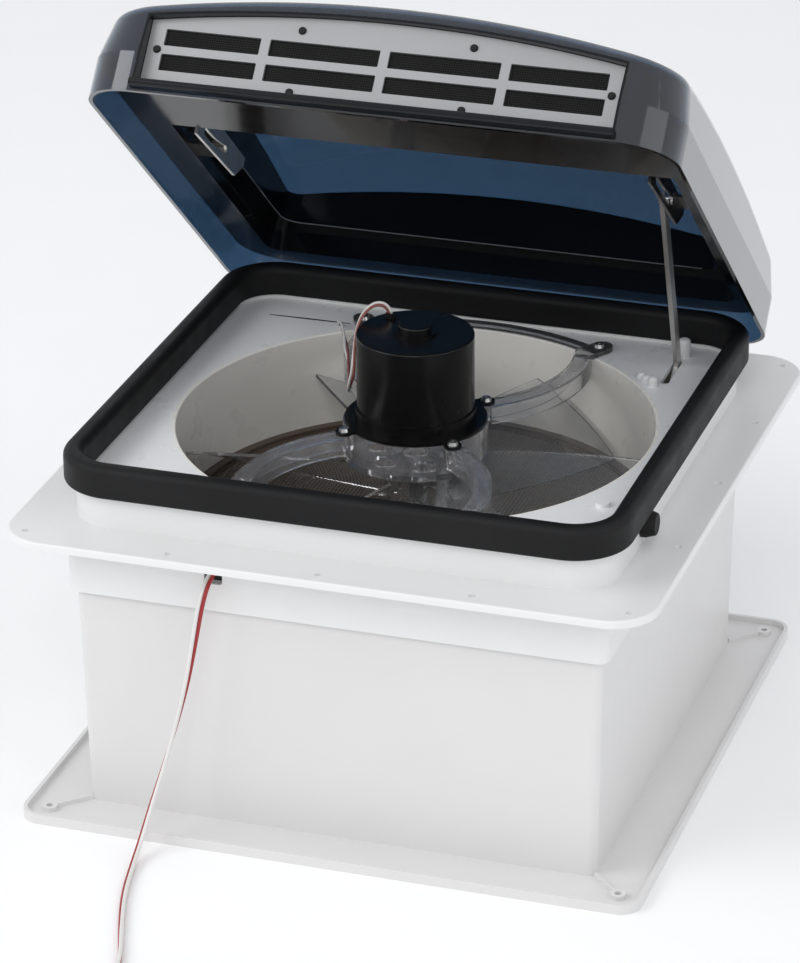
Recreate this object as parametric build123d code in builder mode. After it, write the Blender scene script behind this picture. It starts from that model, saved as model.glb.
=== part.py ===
"""Powered roof vent: a square roof flange with a sealed, gear-lifted lid, a motor fan in a round duct
and a ceiling garnish below. Millimetres, +Z up, origin at the centre of the garnish's lower face.
The lid stands open in the rest position, as it is left when the fan is running."""
from build123d import *
from math import cos, pi, radians, sin, sqrt, tan
import os

os.makedirs("parts", exist_ok=True)

# ---------------------------------------------------------------- driving dimensions
# Heights
ROOF = 203.0                    # top of the roof flange
FLANGE_THICK = 5.0
DECK = ROOF + 19.5              # top of the deck plate around the fan
SPIGOT_FOOT = ROOF - 47.5       # lower end of the spigot that drops through the roof
GARNISH_TOP = ROOF - 28.0       # the garnish slides up inside the spigot to here
DUCT_FOOT = ROOF - 46.0

# Plan sizes
FLANGE_SIDE = 420.0
FLANGE_CORNER = 30.0
SCREW_LINE = 200.0              # mid-side screws, from the centre lines
SCREW_PITCH = 98.0
SCREW_CORNER = 194.5            # corner screws sit a little further in
SCREW_BORE = 4.5
SPIGOT_SIDE = 353.0
SHELL = 2.5                     # wall of the moulded base
COLLAR_WIDE = 353.4
COLLAR_DEEP = 343.0
COLLAR_Y = -5.0                 # the collar, duct and fan are centred a little forward
COLLAR_CORNER = 30.0
COLLAR_RISE = 32.0              # collar height above the roof flange, most of it inside the seal
SEAL_LOW, SEAL_HIGH = 22.5, 44.0
SEAL_OUT, SEAL_IN = 7.5, 5.8    # seal width outside and inside the collar's outer face
GARNISH_SIDE = 410.0
GARNISH_BOX_TOP = 345.0
GARNISH_BOX_FOOT = 338.0
GARNISH_HOLES = 189.0

# Fan
DUCT_RADIUS = 154.8
DUCT_WALL = 2.3
BLADE_RADIUS = 149.5
BLADE_COUNT = 6
FAN_CENTRE = (0.0, COLLAR_Y)
MOTOR_RADIUS = 38.0
MOTOR_BASE = ROOF + 21.0
MOTOR_TOP = ROOF + 81.0
MOTOR_WALL = 1.6
LUG_RADIUS = 51.5               # motor screws, from the fan axis
FOOT_RADIUS = 163.0             # bracket feet on the deck, from the fan axis
FOOT_ANGLES = (60.0, 120.0, 240.0, 300.0)
LUG_ANGLES = (45.0, 135.0, 225.0, 315.0)
SHAFT_RADIUS = 3.0

# Lid and its lift
HINGE_Y, HINGE_Z = 171.6, ROOF + 11.0
RIM_Y, RIM_Z = 179.5, ROOF + 20.0    # where the lid's own frame starts, on the open rim's plane
LID_OPEN = 41.0                 # degrees above closed, the rest position
LID_WIDE = 380.0
LID_FRONT = 367.0               # the lid frame's origin to the front of the rim
LID_BACK = 6.7                  # the lid frame's origin to the back of the rim
LID_CORNER = 34.0
LID_WALL = 2.6
LID_SKIRT = 26.0                # height of the upright skirt
LID_SIDE_TOP = 49.0             # roof height at the flanks
LID_MID_TOP = 72.0              # roof height on the centre line
SEAT = 21.4                     # underside of the liner, which closes on the seal
PIVOT_Y, PIVOT_Z = 110.0, ROOF - 4.0
PIN_OPEN = (190.0, 30.0)        # arm pin in the lid: forward of its frame, and above the rim
ARM_X = 144.5                   # inner face of the arm at the rail
ARM_FOOT_X = 136.0              # and below the deck
ARM_THICK = 3.0
RAIL_X = 149.0
RAIL_THICK = 2.0
PIN_RADIUS = 2.0
PIN_HEAD = 3.6

# Gearing of the lift
GEAR_TEETH = 24
GEAR_MODULE = 1.5
GEAR_RADIUS = GEAR_TEETH * GEAR_MODULE / 2
GEAR_X = 139.5
GEAR_WIDE = 4.0
WORM_RADIUS = 5.2              # pitch radius
WORM_X = GEAR_X + GEAR_WIDE / 2
WORM_Y = PIVOT_Y + GEAR_RADIUS + WORM_RADIUS

# Power lead
LEAD_WIDE = 5.2
LEAD_START = (-77.5, -174.5, 182.0)


# ---------------------------------------------------------------- shared helpers
def hollow_box(wide, deep, corner, wall):
    """A rounded rectangle with its inside taken away, for the active sketch."""
    RectangleRounded(wide, deep, corner)
    RectangleRounded(wide - 2 * wall, deep - 2 * wall, max(corner - wall, 0.5), mode=Mode.SUBTRACT)


def polar(radius, angle):
    """A sketch point at a radius and angle about the sketch's origin."""
    return (radius * cos(radians(angle)), radius * sin(radians(angle)))


def fan_plane(height):
    """A level plane with its origin on the fan axis."""
    return Plane(origin=(*FAN_CENTRE, height))


# The lid's own frame: origin on the rim's plane, +Y towards the back of the lid, +Z out of its roof.
LID = Plane(
    origin=(0, RIM_Y, RIM_Z),
    x_dir=(1, 0, 0),
    z_dir=(0, sin(radians(LID_OPEN)), cos(radians(LID_OPEN))),
)


def lid_point(x, forward, up):
    """A point in the lid: forward from its frame's origin, and above the rim."""
    return LID.from_local_coords((x, -forward, up))


def lid_side(x):
    """A plane across the lid, facing left: sketch X runs forward, sketch Y runs up."""
    return Plane(origin=lid_point(x, 0, 0), x_dir=-LID.y_dir, z_dir=(-1, 0, 0))


def lid_front(forward):
    """A plane facing the front of the lid: sketch X runs right, sketch Y runs up."""
    return Plane(origin=lid_point(0, forward, 0), x_dir=(1, 0, 0), z_dir=-LID.y_dir)


def save(builder, name):
    """Label a finished piece and write its STEP file."""
    builder.part.label = name
    export_step(builder.part, f"parts/{name}.step")


# ---------------------------------------------------------------- base: roof flange, collar, seal
SCREW_PLACES = (
    [(i * SCREW_PITCH, side * SCREW_LINE) for i in (-1, 0, 1) for side in (-1, 1)]
    + [(side * SCREW_LINE, i * SCREW_PITCH) for i in (-1, 0, 1) for side in (-1, 1)]
    + [(i * SCREW_CORNER, j * SCREW_CORNER) for i in (-1, 1) for j in (-1, 1)]
)
LEAD_NOTCH = (12.0, 12.0)       # opening in the spigot for the power lead

with BuildPart() as roof_frame:
    with BuildSketch(Plane.XY.offset(ROOF - FLANGE_THICK)):
        RectangleRounded(FLANGE_SIDE, FLANGE_SIDE, FLANGE_CORNER)
    extrude(amount=FLANGE_THICK)
    top_rim = roof_frame.edges().group_by(Axis.Z)[-1]
    fillet(top_rim, 1.5)
    with BuildSketch(fan_plane(ROOF)):
        RectangleRounded(COLLAR_WIDE, COLLAR_DEEP, COLLAR_CORNER)
    extrude(amount=COLLAR_RISE)
    with BuildSketch(Plane.XY.offset(SPIGOT_FOOT)):
        RectangleRounded(SPIGOT_SIDE, SPIGOT_SIDE, 8)
    extrude(amount=ROOF - FLANGE_THICK - SPIGOT_FOOT)
    with BuildSketch(fan_plane(ROOF - FLANGE_THICK)):
        RectangleRounded(COLLAR_WIDE - 2 * SHELL, COLLAR_DEEP - 2 * SHELL, COLLAR_CORNER - SHELL)
    extrude(amount=FLANGE_THICK + COLLAR_RISE, mode=Mode.SUBTRACT)
    with BuildSketch(Plane.XY.offset(SPIGOT_FOOT)):
        RectangleRounded(SPIGOT_SIDE - 2 * SHELL, SPIGOT_SIDE - 2 * SHELL, 8 - SHELL)
    extrude(amount=ROOF - FLANGE_THICK - SPIGOT_FOOT, mode=Mode.SUBTRACT)
    with BuildSketch(Plane.XY.offset(ROOF)):
        with Locations(*SCREW_PLACES):
            Circle(SCREW_BORE / 2)
    extrude(amount=-FLANGE_THICK, mode=Mode.SUBTRACT)
    with BuildSketch(Plane.XZ.offset(SPIGOT_SIDE / 2 + 1)):
        with Locations((LEAD_START[0], LEAD_START[2] - 2)):
            RectangleRounded(*LEAD_NOTCH, 2.5)
    extrude(amount=-SHELL - 2, mode=Mode.SUBTRACT)
save(roof_frame, "roof_frame")

with BuildPart() as rim_seal:
    seal_wide = COLLAR_WIDE + 2 * SEAL_OUT
    seal_deep = COLLAR_DEEP + 2 * SEAL_OUT
    with BuildSketch(fan_plane(ROOF + SEAL_LOW)):
        hollow_box(seal_wide, seal_deep, COLLAR_CORNER + SEAL_OUT, SEAL_OUT + SEAL_IN)
    extrude(amount=SEAL_HIGH - SEAL_LOW)
    fillet(rim_seal.edges().group_by(Axis.Z)[-1], 5.5)
    fillet(rim_seal.edges().group_by(Axis.Z)[0], 2.5)
    with BuildSketch(fan_plane(ROOF + SEAL_LOW)):
        hollow_box(COLLAR_WIDE, COLLAR_DEEP, COLLAR_CORNER, SHELL)
    extrude(amount=COLLAR_RISE - SEAL_LOW, mode=Mode.SUBTRACT)
save(rim_seal, "rim_seal")

# ---------------------------------------------------------------- base: deck and duct
DECK_THICK = 3.0
DECK_GAP = 0.4
ARM_SLOT = (5.6, 43.0)          # opening that the lift arm swings through
ARM_SLOT_Y = 120.5

with BuildPart() as deck_plate:
    deck_wide = COLLAR_WIDE - 2 * SHELL - 2 * DECK_GAP
    deck_deep = COLLAR_DEEP - 2 * SHELL - 2 * DECK_GAP
    with BuildSketch(fan_plane(DECK - DECK_THICK)):
        RectangleRounded(deck_wide, deck_deep, COLLAR_CORNER - SHELL - DECK_GAP)
        Circle(DUCT_RADIUS + DUCT_WALL, mode=Mode.SUBTRACT)
        with Locations((ARM_FOOT_X + ARM_THICK / 2, ARM_SLOT_Y - COLLAR_Y)):
            RectangleRounded(*ARM_SLOT, 2.5, mode=Mode.SUBTRACT)
    extrude(amount=DECK_THICK)
    with Locations((150, -94, DECK)):
        Cylinder(4.5, 2.5, align=(Align.CENTER, Align.CENTER, Align.MIN))
save(deck_plate, "deck_plate")

with BuildPart() as fan_duct:
    with BuildSketch(fan_plane(DUCT_FOOT)):
        Circle(DUCT_RADIUS + DUCT_WALL)
        Circle(DUCT_RADIUS, mode=Mode.SUBTRACT)
    extrude(amount=DECK - DUCT_FOOT)
    with BuildSketch(fan_plane(DUCT_FOOT)):
        Circle(DUCT_RADIUS + 8)
        Circle(DUCT_RADIUS, mode=Mode.SUBTRACT)
    extrude(amount=2.5)
    inner_lip = fan_duct.edges().filter_by(GeomType.CIRCLE).group_by(Axis.Z)[-1].sort_by(SortBy.RADIUS)[0]
    fillet(inner_lip, 1.0)
save(fan_duct, "fan_duct")

SCREEN_TOP = DUCT_FOOT         # the screen frame closes the duct from below
with BuildPart() as screen_frame:
    with BuildSketch(fan_plane(SCREEN_TOP)):
        Circle(DUCT_RADIUS + 8)
        Circle(DUCT_RADIUS - 6, mode=Mode.SUBTRACT)
    extrude(amount=-5)
    with BuildSketch(fan_plane(SCREEN_TOP - 1.5)):
        Circle(DUCT_RADIUS - 2)
    extrude(amount=-1.2, mode=Mode.SUBTRACT)
    with BuildSketch(fan_plane(SCREEN_TOP - 5)):
        Rectangle(2 * DUCT_RADIUS - 10, 5)
        Rectangle(5, 2 * DUCT_RADIUS - 10)
        Circle(14)
    extrude(amount=2.3)
save(screen_frame, "screen_frame")

with BuildPart() as insect_screen:
    with BuildSketch(fan_plane(SCREEN_TOP - 1.6)):
        Circle(DUCT_RADIUS - 2.1)
    extrude(amount=-1.0)
save(insect_screen, "insect_screen")

# ---------------------------------------------------------------- base: ceiling garnish
GARNISH_FLAT = 3.0
GARNISH_LIP = 7.0

with BuildPart() as ceiling_garnish:
    with BuildSketch(Plane.XY):
        RectangleRounded(GARNISH_SIDE, GARNISH_SIDE, 14)
    extrude(amount=GARNISH_FLAT)
    with BuildSketch(Plane.XY.offset(GARNISH_FLAT)):
        hollow_box(GARNISH_SIDE, GARNISH_SIDE, 14, 2.5)
    extrude(amount=GARNISH_LIP - GARNISH_FLAT)
    with BuildSketch(Plane.XY):
        RectangleRounded(GARNISH_BOX_FOOT, GARNISH_BOX_FOOT, 6)
    with BuildSketch(Plane.XY.offset(GARNISH_TOP)):
        RectangleRounded(GARNISH_BOX_TOP, GARNISH_BOX_TOP, 6)
    loft()
    with BuildSketch(Plane.XY):
        RectangleRounded(GARNISH_BOX_FOOT - 2 * SHELL, GARNISH_BOX_FOOT - 2 * SHELL, 6 - SHELL)
    with BuildSketch(Plane.XY.offset(GARNISH_TOP)):
        RectangleRounded(GARNISH_BOX_TOP - 2 * SHELL, GARNISH_BOX_TOP - 2 * SHELL, 6 - SHELL)
    loft(mode=Mode.SUBTRACT)
    corner_bosses = [(i * GARNISH_HOLES, j * GARNISH_HOLES) for i in (-1, 1) for j in (-1, 1)]
    with BuildSketch(Plane.XY):
        with Locations(*corner_bosses):
            Circle(5)
    extrude(amount=GARNISH_LIP - 1)
    rib_middle = (GARNISH_BOX_FOOT / 2 + GARNISH_HOLES) / 2
    rib_length = (GARNISH_HOLES - GARNISH_BOX_FOOT / 2) * sqrt(2)
    with BuildSketch(Plane.XY):
        for i in (-1, 1):
            for j in (-1, 1):
                with Locations(Location((i * rib_middle, j * rib_middle), 45 * i * j)):
                    Rectangle(rib_length, 1.8)
    extrude(amount=GARNISH_LIP - 1)
    with Locations(*[(x, y, GARNISH_LIP) for x, y in corner_bosses]):
        Hole(SCREW_BORE / 2, depth=GARNISH_LIP)
save(ceiling_garnish, "ceiling_garnish")

# ---------------------------------------------------------------- base: clear motor bracket
HUB_OUT, HUB_IN = 47.0, 41.5
HUB_TOP = MOTOR_BASE
HUB_FOOT = ROOF - 3.0
CHANNEL_WIDE = 12.0
CHANNEL_WALL = 2.4
CHANNEL_DEEP = 13.0
CHANNEL_END = DUCT_RADIUS - 5.0
TAB_THICK = 3.5
RING_SCREW = 1.6                # radius of the screws' pilot holes

with BuildPart() as motor_bracket:
    with BuildSketch(fan_plane(HUB_FOOT)):
        Circle(HUB_OUT)
        Circle(HUB_IN, mode=Mode.SUBTRACT)
    extrude(amount=HUB_TOP - HUB_FOOT)
    with BuildSketch(fan_plane(HUB_FOOT)):
        Circle(HUB_OUT)
        Circle(9, mode=Mode.SUBTRACT)
        with PolarLocations(25, 6):
            Circle(8.5, mode=Mode.SUBTRACT)
    extrude(amount=2.4)
    with BuildSketch(fan_plane(HUB_TOP - 10)):
        with PolarLocations(LUG_RADIUS, 4, start_angle=LUG_ANGLES[0]):
            Circle(6.0)
        Circle(HUB_IN, mode=Mode.SUBTRACT)
    extrude(amount=10)
    # Curved channel arms, open below, from the lugs out to the feet.
    for lug, foot in zip(LUG_ANGLES, FOOT_ANGLES):
        bow = lug + (foot - lug) * 0.25
        for wide, low in ((CHANNEL_WIDE, 0), (CHANNEL_WIDE - 2 * CHANNEL_WALL, CHANNEL_WALL)):
            with BuildSketch(fan_plane(HUB_TOP - low)):
                with BuildLine():
                    ThreePointArc(polar(LUG_RADIUS + 2, lug), polar(105, bow), polar(CHANNEL_END - low, foot))
                trace(line_width=wide)
            extrude(amount=low - CHANNEL_DEEP, mode=Mode.SUBTRACT if low else Mode.ADD)
        with BuildSketch(fan_plane(DECK)):
            with Locations(Location((*polar(FOOT_RADIUS - 3, foot), 0), foot)):
                SlotOverall(30, 14)
        extrude(amount=TAB_THICK)
    # Hoops along the edge of the duct tie the feet together in pairs, front and back.
    for start in (FOOT_ANGLES[0], FOOT_ANGLES[2]):
        with BuildSketch(fan_plane(DECK)):
            with BuildLine():
                CenterArc((0, 0), DUCT_RADIUS + 5, start, 60)
            trace(line_width=6)
        extrude(amount=TAB_THICK)
    with BuildSketch(fan_plane(HUB_TOP)):
        with PolarLocations(LUG_RADIUS, 4, start_angle=LUG_ANGLES[0]):
            Circle(RING_SCREW)
    extrude(amount=-10, mode=Mode.SUBTRACT)
    with BuildSketch(fan_plane(DECK + TAB_THICK)):
        for foot in FOOT_ANGLES:
            with Locations(polar(FOOT_RADIUS + 2, foot)):
                Circle(RING_SCREW)
    extrude(amount=-TAB_THICK, mode=Mode.SUBTRACT)
save(motor_bracket, "motor_bracket")


def add_screws(seat, places, head_radius, head_high, shank):
    """Pan-head screws with a cross recess in the active part, their heads on a plane."""
    for place in places:
        with BuildSketch(seat) as head:
            with Locations(place):
                Circle(head_radius)
        extrude(head.sketch, amount=head_high, taper=18)
        with BuildSketch(seat.offset(head_high)) as recess:
            with Locations(place):
                Rectangle(head_radius, 0.9)
                Rectangle(0.9, head_radius)
        extrude(recess.sketch, amount=-head_high * 0.5, mode=Mode.SUBTRACT)
        with BuildSketch(seat) as shaft:
            with Locations(place):
                Circle(RING_SCREW)
        extrude(shaft.sketch, amount=-shank)


MOTOR_FLANGE = 2.0
with BuildPart() as bracket_screws:
    feet = [polar(FOOT_RADIUS + 2, foot) for foot in FOOT_ANGLES]
    add_screws(fan_plane(DECK + TAB_THICK), feet, 3.6, 2.2, TAB_THICK)
save(bracket_screws, "bracket_screws")

with BuildPart() as motor_screws:
    lugs = [polar(LUG_RADIUS, lug) for lug in LUG_ANGLES]
    add_screws(fan_plane(MOTOR_BASE + MOTOR_FLANGE), lugs, 3.6, 2.2, MOTOR_FLANGE + 8)
save(motor_screws, "motor_screws")

# ---------------------------------------------------------------- base: motor
BEARING_OUT = 6.5
BEARING_TALL = 7.0
CAP_RADIUS = 10.8

with BuildPart() as motor_can:
    with BuildSketch(fan_plane(MOTOR_BASE)):
        Circle(46)
        with PolarLocations(LUG_RADIUS, 4, start_angle=LUG_ANGLES[0]):
            Circle(5.6)
        with PolarLocations(LUG_RADIUS - 4, 4, start_angle=LUG_ANGLES[0]):
            Rectangle(8, 9.6)
        Circle(MOTOR_RADIUS - MOTOR_WALL, mode=Mode.SUBTRACT)
        with PolarLocations(LUG_RADIUS, 4, start_angle=LUG_ANGLES[0]):
            Circle(RING_SCREW, mode=Mode.SUBTRACT)
    extrude(amount=MOTOR_FLANGE)
    with BuildSketch(fan_plane(MOTOR_BASE)):
        Circle(MOTOR_RADIUS + 1.2)
        Circle(MOTOR_RADIUS - MOTOR_WALL, mode=Mode.SUBTRACT)
    extrude(amount=10)
    with BuildSketch(fan_plane(MOTOR_BASE)):
        Circle(MOTOR_RADIUS)
        Circle(MOTOR_RADIUS - MOTOR_WALL, mode=Mode.SUBTRACT)
    extrude(amount=MOTOR_TOP - MOTOR_BASE)
    with BuildSketch(fan_plane(MOTOR_TOP - MOTOR_WALL)):
        Circle(MOTOR_RADIUS)
        Circle(BEARING_OUT, mode=Mode.SUBTRACT)
    extrude(amount=MOTOR_WALL)
    top_edge = motor_can.edges().group_by(Axis.Z)[-1].sort_by(SortBy.RADIUS)[-1]
    fillet(top_edge, 1.2)
save(motor_can, "motor_can")

with BuildPart() as motor_cap:
    with BuildSketch(fan_plane(MOTOR_TOP)):
        Circle(CAP_RADIUS + 3)
    extrude(amount=1.2)
    with BuildSketch(fan_plane(MOTOR_TOP)):
        Circle(CAP_RADIUS)
    extrude(amount=6.5)
    fillet(motor_cap.edges().group_by(Axis.Z)[-1], 1.5)
    with BuildSketch(fan_plane(MOTOR_TOP)):
        Circle(SHAFT_RADIUS + 0.5)
    extrude(amount=2.5, mode=Mode.SUBTRACT)
save(motor_cap, "motor_cap")

END_BELL = MOTOR_BASE - 1.0
with BuildPart() as end_bell:
    with BuildSketch(fan_plane(END_BELL)):
        Circle(MOTOR_RADIUS - MOTOR_WALL)
        Circle(BEARING_OUT, mode=Mode.SUBTRACT)
    extrude(amount=3)
    with BuildSketch(fan_plane(END_BELL)):
        Circle(12)
        Circle(BEARING_OUT, mode=Mode.SUBTRACT)
    extrude(amount=-6)
save(end_bell, "end_bell")

for place, low in (("upper", MOTOR_TOP - BEARING_TALL), ("lower", END_BELL - 6)):
    with BuildPart() as bearing:
        with BuildSketch(fan_plane(low)):
            Circle(BEARING_OUT)
            Circle(SHAFT_RADIUS + 0.04, mode=Mode.SUBTRACT)
        extrude(amount=BEARING_TALL)
    save(bearing, f"{place}_bearing")

MAGNET_IN = 30.5
with BuildPart() as field_magnets:
    for start in (-65, 115):
        with BuildSketch(fan_plane(MOTOR_BASE + 12)):
            with BuildLine():
                CenterArc((0, 0), (MOTOR_RADIUS - MOTOR_WALL + MAGNET_IN) / 2, start, 130)
            trace(line_width=MOTOR_RADIUS - MOTOR_WALL - MAGNET_IN)
        extrude(amount=34)
save(field_magnets, "field_magnets")

BRUSH_PLATE = MOTOR_BASE + 4.0
COMMUTATOR_RADIUS = 8.0
with BuildPart() as brush_holder:
    with BuildSketch(fan_plane(BRUSH_PLATE)):
        Circle(MOTOR_RADIUS - MOTOR_WALL - 0.2)
        Circle(COMMUTATOR_RADIUS + 3, mode=Mode.SUBTRACT)
    extrude(amount=2)
    with BuildSketch(fan_plane(BRUSH_PLATE + 2)):
        with Locations((-19, 0), (19, 0)):
            Rectangle(15, 7)
    extrude(amount=5)
save(brush_holder, "brush_holder")

with BuildPart() as brushes:
    for side in (-1, 1):
        with BuildSketch(Plane(origin=(0, COLLAR_Y, BRUSH_PLATE + 4.5), x_dir=(0, 1, 0), z_dir=(side, 0, 0))
                         .offset(COMMUTATOR_RADIUS + 0.3)):
            Rectangle(4.4, 3.6)
        extrude(amount=3.2)
save(brushes, "brushes")

# ---------------------------------------------------------------- fan body
FAN_HUB_TOP = ROOF - 12.0
FAN_HUB_TALL = 24.0
FAN_HUB_RADIUS = 21.0

with BuildPart() as fan_shaft:
    with BuildSketch(fan_plane(FAN_HUB_TOP - FAN_HUB_TALL - 9)):
        Circle(SHAFT_RADIUS)
    extrude(amount=MOTOR_TOP + 1.5 - (FAN_HUB_TOP - FAN_HUB_TALL - 9))
save(fan_shaft, "fan_shaft")

with BuildPart() as armature:
    with BuildSketch(fan_plane(MOTOR_BASE + 15)):
        Circle(MAGNET_IN - 0.8)
        Circle(SHAFT_RADIUS, mode=Mode.SUBTRACT)
        with PolarLocations(MAGNET_IN - 6.5, 12):
            SlotOverall(9, 3.4, mode=Mode.SUBTRACT)
        with PolarLocations(MAGNET_IN - 1.5, 12):
            Rectangle(5, 1.4, mode=Mode.SUBTRACT)
    extrude(amount=28)
save(armature, "armature")

with BuildPart() as armature_winding:
    for low in (MOTOR_BASE + 43, MOTOR_BASE + 13.5 - 2):
        with BuildSketch(fan_plane(low)):
            Circle(MAGNET_IN - 4)
            Circle(9.5, mode=Mode.SUBTRACT)
        extrude(amount=5 if low > MOTOR_BASE + 20 else 3.5)
save(armature_winding, "armature_winding")

with BuildPart() as commutator:
    with BuildSketch(fan_plane(BRUSH_PLATE + 1)):
        Circle(COMMUTATOR_RADIUS)
        Circle(SHAFT_RADIUS, mode=Mode.SUBTRACT)
        with PolarLocations(COMMUTATOR_RADIUS, 12):
            Rectangle(1.6, 0.6, mode=Mode.SUBTRACT)
    extrude(amount=9)
save(commutator, "commutator")

BLADE_ROOT = (FAN_HUB_RADIUS - 1.5, 44.0, 48.0)      # radius, chord, pitch in degrees
BLADE_MID = (85.0, 70.0, 33.0)
BLADE_TIP = (BLADE_RADIUS, 84.0, 24.0)
BLADE_THICK = 1.8
FAN_MIDDLE = FAN_HUB_TOP - FAN_HUB_TALL / 2

with BuildPart() as fan_blades:
    with BuildSketch(fan_plane(FAN_HUB_TOP)):
        Circle(FAN_HUB_RADIUS)
        Circle(SHAFT_RADIUS, mode=Mode.SUBTRACT)
    extrude(amount=-FAN_HUB_TALL)
    with BuildSketch(fan_plane(FAN_HUB_TOP - FAN_HUB_TALL)):
        Circle(FAN_HUB_RADIUS - 2.5)
        Circle(7, mode=Mode.SUBTRACT)
    extrude(amount=FAN_HUB_TALL - 4, mode=Mode.SUBTRACT)
    for turn in range(BLADE_COUNT):
        for radius, chord, pitch in (BLADE_ROOT, BLADE_MID, BLADE_TIP):
            out = Vector(*polar(1, turn * 360 / BLADE_COUNT))
            along = Vector(-out.Y * cos(radians(pitch)), out.X * cos(radians(pitch)), sin(radians(pitch)))
            centre = Vector(*FAN_CENTRE, FAN_MIDDLE) + out * radius
            with BuildSketch(Plane(origin=centre, x_dir=along, z_dir=out)):
                Rectangle(chord, BLADE_THICK)
        loft()
    with BuildSketch(fan_plane(FAN_HUB_TOP - FAN_HUB_TALL - 4)):
        Circle(FAN_HUB_RADIUS - 2.5)
        Circle(7, mode=Mode.SUBTRACT)
    extrude(amount=FAN_HUB_TALL, mode=Mode.SUBTRACT)
    with BuildSketch(fan_plane(FAN_HUB_TOP + 40)):
        Circle(BLADE_RADIUS + 40)
        Circle(BLADE_RADIUS, mode=Mode.SUBTRACT)
    extrude(amount=-120, mode=Mode.SUBTRACT)
save(fan_blades, "fan_blades")

with BuildPart() as fan_nut:
    with BuildSketch(fan_plane(FAN_HUB_TOP - FAN_HUB_TALL)):
        RegularPolygon(6, 6)
        Circle(SHAFT_RADIUS, mode=Mode.SUBTRACT)
    extrude(amount=-5)
save(fan_nut, "fan_nut")

# ---------------------------------------------------------------- lid
LID_DEEP = LID_FRONT + LID_BACK
LID_MIDDLE = (LID_BACK - LID_FRONT) / 2     # centre of the rim, along the lid's own Y
ROOF_INSET = (13.0, 8.4, 8.4)               # lean of the sides, front and back above the skirt
ROOF_TALL = 70.0                # over this height, which clears the crown
ROOF_FILLET = 9.0
CROWN = 14.0                    # rise of the roof from its front and back edges to its middle


def lid_shell(shrink):
    """The lid's outer shape, or its inside when shrunk, before the roof's arch cuts it."""
    side, front, back = ROOF_INSET
    top_deep = LID_DEEP - front - back
    top_middle = LID_MIDDLE + (front - back) / 2
    with BuildPart() as shell:
        with BuildSketch(LID):
            with Locations((0, LID_MIDDLE)):
                RectangleRounded(LID_WIDE - 2 * shrink, LID_DEEP - 2 * shrink, LID_CORNER - shrink)
        extrude(amount=LID_SKIRT)
        with BuildSketch(LID.offset(LID_SKIRT)):
            with Locations((0, LID_MIDDLE)):
                RectangleRounded(LID_WIDE - 2 * shrink, LID_DEEP - 2 * shrink, LID_CORNER - shrink)
        with BuildSketch(LID.offset(LID_SKIRT + ROOF_TALL)):
            with Locations((0, top_middle)):
                RectangleRounded(
                    LID_WIDE - 2 * side - 2 * shrink, top_deep - 2 * shrink, LID_CORNER - shrink
                )
        loft()
        with BuildLine(lid_side(0)) as crown:
            ThreePointArc((-LID_BACK - 6, -2), (LID_FRONT / 2, CROWN), (LID_FRONT + 5, 0))
        spine = crown.edges()[0]
        with BuildSketch(Plane(origin=spine @ 0, x_dir=(1, 0, 0), z_dir=spine % 0)):
            arch_outline(LID_SIDE_TOP - shrink, LID_MID_TOP - shrink, LID_WIDE / 2 + 5, -60)
        sweep(path=spine, mode=Mode.INTERSECT)
        top_edges = [edge for edge in shell.edges() if LID.to_local_coords(edge.center()).Z > LID_SIDE_TOP - 6]
        fillet(top_edges, ROOF_FILLET - shrink)
    return shell.part


def arch_outline(side_top, mid_top, half_wide, low):
    """A panel outline for the active sketch: flat below, arched above."""
    with BuildLine() as outline:
        Polyline((-half_wide, side_top), (-half_wide, low), (half_wide, low), (half_wide, side_top))
        ThreePointArc((-half_wide, side_top), (0, mid_top), (half_wide, side_top))
    make_face(outline.edges())


PANEL_HALF = 152.0              # grille panel, half width
PANEL_LOW, PANEL_SIDE, PANEL_MID = 8.0, 51.0, 63.5
PANEL_FACE = LID_FRONT - 9.0
TRAY_SHELF = 4.0
TRAY_CLEAR = 22.0               # no shelf below this: the seal passes there as the lid closes
TRAY_WALL = 2.0

SLOT_WIDTHS = (62.0, 71.0, 71.0, 62.0)
SLOT_BAR = 6.0
SLOT_ROWS = (24.0, 40.5)        # middles of the two rows, above the rim
SLOT_HIGH = 11.0
PANEL_THICK = 2.0


def slot_middles():
    """Middle and width of each grille slot across the panel."""
    edge = -(sum(SLOT_WIDTHS) + SLOT_BAR * (len(SLOT_WIDTHS) - 1)) / 2
    for width in SLOT_WIDTHS:
        yield edge + width / 2, width
        edge += width + SLOT_BAR


SCREW_BOSS = 4.6
GRILLE_SCREWS = [(-145.5, 32), (145.5, 32), (-55, 53.5), (55, 53.5), (-55, 12.8), (55, 12.8)]

lid_inside = lid_shell(LID_WALL)

with BuildPart() as lid_dome:
    add(lid_shell(0))
    add(lid_inside, mode=Mode.SUBTRACT)
    with BuildSketch(lid_front(LID_FRONT + 1)):
        arch_outline(PANEL_SIDE + TRAY_WALL, PANEL_MID + TRAY_WALL, PANEL_HALF + TRAY_WALL, PANEL_LOW - TRAY_WALL)
    extrude(amount=-16, mode=Mode.SUBTRACT)
save(lid_dome, "lid_dome")

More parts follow.
